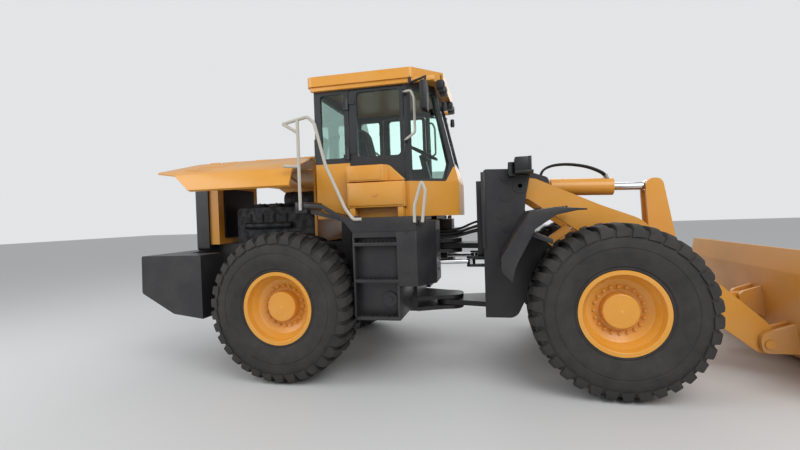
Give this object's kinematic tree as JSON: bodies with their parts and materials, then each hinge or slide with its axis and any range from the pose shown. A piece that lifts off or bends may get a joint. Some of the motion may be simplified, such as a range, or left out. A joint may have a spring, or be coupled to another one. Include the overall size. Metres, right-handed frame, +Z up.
{
  "type": "articulated wheel loader",
  "caption": "Articulated wheel loader with a hinged frame, cab, raised hood panels, lift arms and a wide front bucket.",
  "frame": {"origin": "on the ground under the middle of the machine's length and width", "axes": "+X towards the bucket, +Y towards the driver's left, +Z up"},
  "size_m": [8.0444, 3.024, 3.31],
  "materials": {
    "orange_paint": "gloss",
    "dark_paint": "satin",
    "bucket_paint": "worn satin",
    "cab_paint": "satin",
    "tyre": "matt",
    "glass": "clear",
    "cast_dark": "rough",
    "rod_chrome": "polished",
    "seat_cloth": "woven",
    "plastic_black": "moulded"
  },
  "bodies": {
    "rear_frame": {"rear_chassis": "dark_paint", "counterweight": "dark_paint", "engine": "cast_dark", "radiator": "orange_paint", "rear_guard": "dark_paint", "hood": "orange_paint", "deck": "dark_paint", "tank_left": "dark_paint", "tank_right": "dark_paint", "cab_base": "orange_paint", "cab_frame": "cab_paint", "cab_glass": "glass", "cab_roof": "orange_paint", "seat_base": "plastic_black", "seat": "seat_cloth", "steering_column": "plastic_black", "rear_axle": "cast_dark"},
    "cab_door_left": {"cab_door_left": "cab_paint", "cab_door_skin_left": "orange_paint", "cab_door_glass_left": "glass"},
    "cab_door_right": {"cab_door_right": "cab_paint", "cab_door_skin_right": "orange_paint", "cab_door_glass_right": "glass"},
    "hood_door_left": {"hood_door_left": "orange_paint"},
    "hood_door_right": {"hood_door_right": "orange_paint"},
    "front_frame": {"front_chassis": "dark_paint", "front_axle": "cast_dark", "front_fenders": "dark_paint", "head_lamps": "plastic_black"},
    "boom": {"boom": "orange_paint"},
    "rocker": {"rocker": "orange_paint"},
    "bucket_link": {"bucket_link": "orange_paint"},
    "bucket": {"bucket": "bucket_paint"},
    "tilt_barrel": {"tilt_barrel": "orange_paint"},
    "tilt_rod": {"tilt_rod": "rod_chrome"},
    "lift_barrels": {"lift_left_barrel": "orange_paint", "lift_right_barrel": "orange_paint"},
    "lift_rods": {"lift_left_rod": "rod_chrome", "lift_right_rod": "rod_chrome"},
    "steer_left_barrel": {"steer_left_barrel": "dark_paint"},
    "steer_left_rod": {"steer_left_rod": "rod_chrome"},
    "steer_right_barrel": {"steer_right_barrel": "dark_paint"},
    "steer_right_rod": {"steer_right_rod": "rod_chrome"},
    "wheel_front_left": {"tyre_front_left": "tyre", "rim_front_left": "orange_paint"},
    "wheel_front_right": {"tyre_front_right": "tyre", "rim_front_right": "orange_paint"},
    "wheel_rear_left": {"tyre_rear_left": "tyre", "rim_rear_left": "orange_paint"},
    "wheel_rear_right": {"tyre_rear_right": "tyre", "rim_rear_right": "orange_paint"}
  },
  "joints": [
    {"name": "steering", "type": "hinge", "parent": "rear_frame", "child": "front_frame", "pos_m": [-0.625, 0, 1], "axis": [0, 0, 1], "range_deg": [-35, 35]},
    {"name": "boom_lift", "type": "hinge", "parent": "front_frame", "child": "boom", "pos_m": [0.225, 0, 1.99], "axis": [0, -1, 0], "range_deg": [0, 86]},
    {"name": "bucket_tilt", "type": "hinge", "parent": "boom", "child": "bucket", "pos_m": [2.525, 0, 0.34], "axis": [0, 1, 0], "range_deg": [-45, 130]},
    {"name": "rocker_swing", "type": "hinge", "parent": "boom", "child": "rocker", "pos_m": [1.775, 0, 1.24], "axis": [0, 1, 0], "range_deg": [-27, 10]},
    {"name": "link_swing", "type": "hinge", "parent": "bucket", "child": "bucket_link", "pos_m": [2.585, 0, 0.68], "axis": [0, 1, 0], "range_deg": [-92, 33]},
    {"name": "tilt_barrel_swing", "type": "hinge", "parent": "front_frame", "child": "tilt_barrel", "pos_m": [0.47, 0, 2], "axis": [0, -1, 0], "range_deg": [-1, 96]},
    {"name": "tilt_rod_slide", "type": "slide", "parent": "tilt_barrel", "child": "tilt_rod", "axis": [0.9995, 0, -0.0324], "range_m": [-0.308, 0.113]},
    {"name": "lift_barrel_swing", "type": "hinge", "parent": "front_frame", "child": "lift_barrels", "pos_m": [0.055, 0, 0.87], "axis": [0, -1, 0], "range_deg": [-1, 35]},
    {"name": "lift_rod_slide", "type": "slide", "parent": "lift_barrels", "child": "lift_rods", "axis": [0.8107, 0, 0.5855], "range_m": [-0.01, 0.842]},
    {"name": "steer_left_barrel_swing", "type": "hinge", "parent": "rear_frame", "child": "steer_left_barrel", "pos_m": [-1.425, 0.56, 1.16], "axis": [0, 0, 1], "range_deg": [-8, 8]},
    {"name": "steer_left_rod_slide", "type": "slide", "parent": "steer_left_barrel", "child": "steer_left_rod", "axis": [0.9896, -0.1439, 0], "range_m": [-0.27, 0.27]},
    {"name": "steer_right_barrel_swing", "type": "hinge", "parent": "rear_frame", "child": "steer_right_barrel", "pos_m": [-1.425, -0.56, 1.16], "axis": [0, 0, 1], "range_deg": [-8, 8]},
    {"name": "steer_right_rod_slide", "type": "slide", "parent": "steer_right_barrel", "child": "steer_right_rod", "axis": [0.9896, 0.1439, 0], "range_m": [-0.27, 0.27]},
    {"name": "wheel_front_left_spin", "type": "hinge", "parent": "front_frame", "child": "wheel_front_left", "pos_m": [1.025, 1.125, 0.79], "axis": [0, 1, 0], "continuous": true},
    {"name": "wheel_front_right_spin", "type": "hinge", "parent": "front_frame", "child": "wheel_front_right", "pos_m": [1.025, -1.125, 0.79], "axis": [0, 1, 0], "continuous": true},
    {"name": "wheel_rear_left_spin", "type": "hinge", "parent": "rear_frame", "child": "wheel_rear_left", "pos_m": [-2.275, 1.125, 0.79], "axis": [0, 1, 0], "continuous": true},
    {"name": "wheel_rear_right_spin", "type": "hinge", "parent": "rear_frame", "child": "wheel_rear_right", "pos_m": [-2.275, -1.125, 0.79], "axis": [0, 1, 0], "continuous": true},
    {"name": "cab_door_left_hinge", "type": "hinge", "parent": "rear_frame", "child": "cab_door_left", "pos_m": [-1.635, 0.8155, 2.6], "axis": [0, 0, 1], "range_deg": [0, 80]},
    {"name": "hood_door_left_hinge", "type": "hinge", "parent": "rear_frame", "child": "hood_door_left", "pos_m": [-2.8, 0.535, 2.456], "axis": [-1, 0, 0], "range_deg": [0, 60]},
    {"name": "cab_door_right_hinge", "type": "hinge", "parent": "rear_frame", "child": "cab_door_right", "pos_m": [-1.635, -0.8155, 2.6], "axis": [0, 0, -1], "range_deg": [0, 80]},
    {"name": "hood_door_right_hinge", "type": "hinge", "parent": "rear_frame", "child": "hood_door_right", "pos_m": [-2.8, -0.535, 2.456], "axis": [1, 0, 0], "range_deg": [0, 60]}
  ],
  "couplings": [
    {"joint": "rocker_swing", "follows": "bucket_tilt", "ratio": -0.2},
    {"joint": "link_swing", "follows": "bucket_tilt", "ratio": -0.7},
    {"joint": "tilt_barrel_swing", "follows": "boom_lift", "ratio": 1.1},
    {"joint": "tilt_rod_slide", "follows": "bucket_tilt", "m_per_rad": -0.1314},
    {"joint": "lift_barrel_swing", "follows": "boom_lift", "ratio": 0.38788},
    {"joint": "lift_rod_slide", "follows": "boom_lift", "m_per_rad": 0.55422},
    {"joint": "steer_left_barrel_swing", "follows": "steering", "ratio": 0.19105},
    {"joint": "steer_left_rod_slide", "follows": "steering", "m_per_rad": -0.425},
    {"joint": "steer_right_barrel_swing", "follows": "steering", "ratio": 0.19105},
    {"joint": "steer_right_rod_slide", "follows": "steering", "m_per_rad": 0.425}
  ]
}
